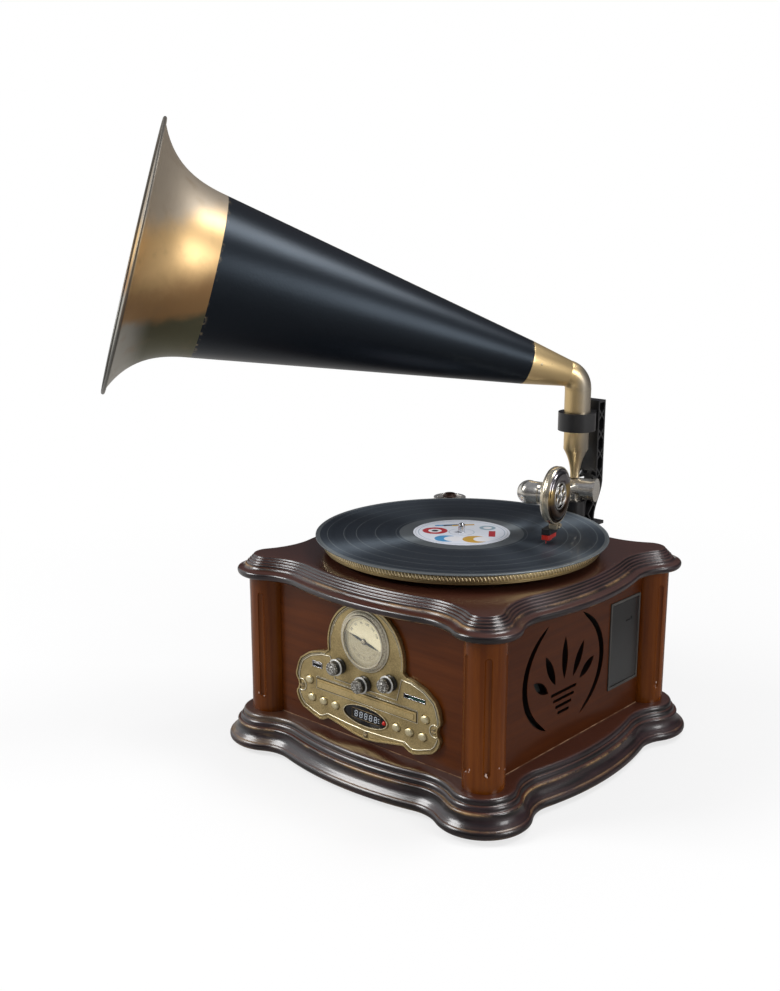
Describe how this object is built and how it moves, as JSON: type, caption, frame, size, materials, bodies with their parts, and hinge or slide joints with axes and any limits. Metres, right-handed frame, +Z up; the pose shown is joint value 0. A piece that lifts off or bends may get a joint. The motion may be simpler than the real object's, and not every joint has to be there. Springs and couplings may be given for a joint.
{
  "type": "record player",
  "caption": "Nostalgic record player with a flared horn on a bracket, a belt-driven turntable, a lifting arm, a front dial plate with drawer and keys, and a side cassette deck.",
  "frame": {"origin": "on the spindle's axis, at the level that the feet stand on", "axes": "+Z up along the spindle; -Y out of the front with the dial; +X towards the side with the cassette deck"},
  "size_m": [0.5482, 0.501, 0.635],
  "materials": {
    "black_rubber": "soft matt black rubber",
    "dark_lacquered_wood": "near-black brown lacquer, glossy, rubbed golden brown on the edges",
    "mahogany_veneer": "red-brown mahogany veneer with satin lacquer",
    "plain_board": "raw fibreboard",
    "speaker_cloth": "fine black speaker cloth",
    "grey_plastic": "moulded grey plastic",
    "black_plastic": "moulded black plastic, half gloss",
    "antique_brass": "antique brass finish, satin",
    "turned_brass": "plain turned brass",
    "plated_steel": "zinc plated steel",
    "old_nickel": "antique nickel finish over brass, polished on the high parts",
    "dial_print": "printed dial card, gold with dark figures",
    "clear_window": "clear window",
    "circuit_board": "green circuit board",
    "record_vinyl": "black grooved vinyl",
    "label_paper": "printed paper label",
    "red_plastic": "red plastic",
    "black_horn_paint": "satin black paint on sheet metal",
    "knob_metal": "cast metal knob, antique silver, dark in the flutes",
    "button_gold": "pale gold plated button",
    "drawer_plastic": "black plastic tray with a brass-coloured front"
  },
  "bodies": {
    "cabinet": {"feet": "black_rubber", "base_moulding": "dark_lacquered_wood", "bottom_board": "plain_board", "corner_columns": "mahogany_veneer", "front_panel": "mahogany_veneer", "right_panel": "mahogany_veneer", "left_panel": "mahogany_veneer", "back_panel": "mahogany_veneer", "top_moulding": "dark_lacquered_wood", "grille_cloths": "speaker_cloth", "speakers": "grey_plastic", "spindle_bearing": "turned_brass", "drive_belt": "black_rubber", "turntable_motor": "plated_steel", "single_adaptor": "old_nickel", "horn_bracket": "black_plastic", "screws": "antique_brass", "fascia": "antique_brass", "dial_ring": "antique_brass", "dial_face": "dial_print", "dial_glass": "clear_window", "display_window": "clear_window", "media_sockets": "plated_steel", "control_board": "circuit_board", "main_board": "circuit_board", "mains_inlet": "black_plastic", "rear_sockets": "black_plastic", "cd_chassis": "plated_steel", "cassette_deck": "grey_plastic"},
    "turntable": {"platter": "antique_brass", "slip_mat": "black_rubber", "record": "record_vinyl", "record_label": "label_paper", "spindle": "plated_steel"},
    "motor_rotor": {"motor_pulley": "turned_brass"},
    "arm_pivot": {"arm_yoke": "old_nickel"},
    "tone_arm": {"arm_tube": "old_nickel", "sound_box": "old_nickel", "sound_box_cover": "old_nickel", "cartridge": "black_plastic", "stylus": "red_plastic"},
    "horn": {"horn_tube": "antique_brass", "horn_elbow": "antique_brass", "horn_cone": "black_horn_paint", "horn_bell": "antique_brass"},
    "pointer": {"dial_pointer": "black_plastic"},
    "volume": {"volume_knob": "knob_metal"},
    "function": {"function_knob": "knob_metal"},
    "tuning": {"tuning_knob": "knob_metal"},
    "drawer": {"cd_drawer": "drawer_plastic"},
    "disc_hub": {"cd_hub": "grey_plastic"},
    "cassette_cover": {"cassette_door": "grey_plastic"},
    "power_key": {"power_button": "button_gold"},
    "program_key": {"program_button": "button_gold"},
    "repeat_key": {"repeat_button": "button_gold"},
    "stop_key": {"stop_button": "button_gold"},
    "play_key": {"play_button": "button_gold"},
    "skip_back_key": {"skip_back_button": "button_gold"},
    "skip_forward_key": {"skip_forward_button": "button_gold"},
    "record_key": {"record_button": "button_gold"}
  },
  "joints": [
    {"name": "platter_spin", "type": "hinge", "parent": "cabinet", "child": "turntable", "pos_m": [0, 0, 0.2], "axis": [0, 0, -1], "continuous": true},
    {"name": "motor_spin", "type": "hinge", "parent": "cabinet", "child": "motor_rotor", "pos_m": [-0.07, -0.075, 0.2], "axis": [0, 0, -1], "continuous": true},
    {"name": "arm_swing", "type": "hinge", "parent": "cabinet", "child": "arm_pivot", "pos_m": [0.03, 0.162, 0.2476], "axis": [0, 0, 1], "range_deg": [-12.3, 25]},
    {"name": "arm_lift", "type": "hinge", "parent": "arm_pivot", "child": "tone_arm", "pos_m": [0.03, 0.162, 0.2476], "axis": [-0.9636, -0.2672, 0], "range_deg": [0, 25]},
    {"name": "horn_swivel", "type": "hinge", "parent": "cabinet", "child": "horn", "pos_m": [0.03, 0.162, 0.33], "axis": [0, 0, 1], "range_deg": [-60, 60]},
    {"name": "volume_turn", "type": "hinge", "parent": "cabinet", "child": "volume", "pos_m": [-0.0335, -0.15, 0.1115], "axis": [0, -1, 0], "range_deg": [-150, 150]},
    {"name": "function_turn", "type": "hinge", "parent": "cabinet", "child": "function", "pos_m": [0, -0.15, 0.1015], "axis": [0, -1, 0], "range_deg": [-45, 45]},
    {"name": "tuning_turn", "type": "hinge", "parent": "cabinet", "child": "tuning", "pos_m": [0.0335, -0.15, 0.1115], "axis": [0, -1, 0], "range_deg": [-270, 270]},
    {"name": "pointer_turn", "type": "hinge", "parent": "cabinet", "child": "pointer", "pos_m": [0, -0.149, 0.145], "axis": [0, -1, 0], "range_deg": [-90, 90]},
    {"name": "drawer_slide", "type": "slide", "parent": "cabinet", "child": "drawer", "axis": [0, -1, 0], "range_m": [0, 0.125]},
    {"name": "disc_hub_spin", "type": "hinge", "parent": "cabinet", "child": "disc_hub", "pos_m": [0, -0.08, 0.0785], "axis": [0, 0, 1], "continuous": true},
    {"name": "cassette_cover_tilt", "type": "hinge", "parent": "cabinet", "child": "cassette_cover", "pos_m": [0.1432, 0.09, 0.07335], "axis": [0, 1, 0], "range_deg": [0, 80]},
    {"name": "power_press", "type": "slide", "parent": "cabinet", "child": "power_key", "axis": [0, 1, 0], "range_m": [0, 0.0012], "stiffness_N_per_m": 300, "springref_m": -0.0005},
    {"name": "program_press", "type": "slide", "parent": "cabinet", "child": "program_key", "axis": [0, 1, 0], "range_m": [0, 0.0012], "stiffness_N_per_m": 300, "springref_m": -0.0005},
    {"name": "repeat_press", "type": "slide", "parent": "cabinet", "child": "repeat_key", "axis": [0, 1, 0], "range_m": [0, 0.0012], "stiffness_N_per_m": 300, "springref_m": -0.0005},
    {"name": "stop_press", "type": "slide", "parent": "cabinet", "child": "stop_key", "axis": [0, 1, 0], "range_m": [0, 0.0012], "stiffness_N_per_m": 300, "springref_m": -0.0005},
    {"name": "play_press", "type": "slide", "parent": "cabinet", "child": "play_key", "axis": [0, 1, 0], "range_m": [0, 0.0012], "stiffness_N_per_m": 300, "springref_m": -0.0005},
    {"name": "skip_back_press", "type": "slide", "parent": "cabinet", "child": "skip_back_key", "axis": [0, 1, 0], "range_m": [0, 0.0012], "stiffness_N_per_m": 300, "springref_m": -0.0005},
    {"name": "skip_forward_press", "type": "slide", "parent": "cabinet", "child": "skip_forward_key", "axis": [0, 1, 0], "range_m": [0, 0.0012], "stiffness_N_per_m": 300, "springref_m": -0.0005},
    {"name": "record_press", "type": "slide", "parent": "cabinet", "child": "record_key", "axis": [0, 1, 0], "range_m": [0, 0.0012], "stiffness_N_per_m": 300, "springref_m": -0.0005}
  ],
  "couplings": [
    {"joint": "motor_spin", "follows": "platter_spin", "ratio": 12.45},
    {"joint": "pointer_turn", "follows": "tuning_turn", "ratio": 0.33333}
  ]
}
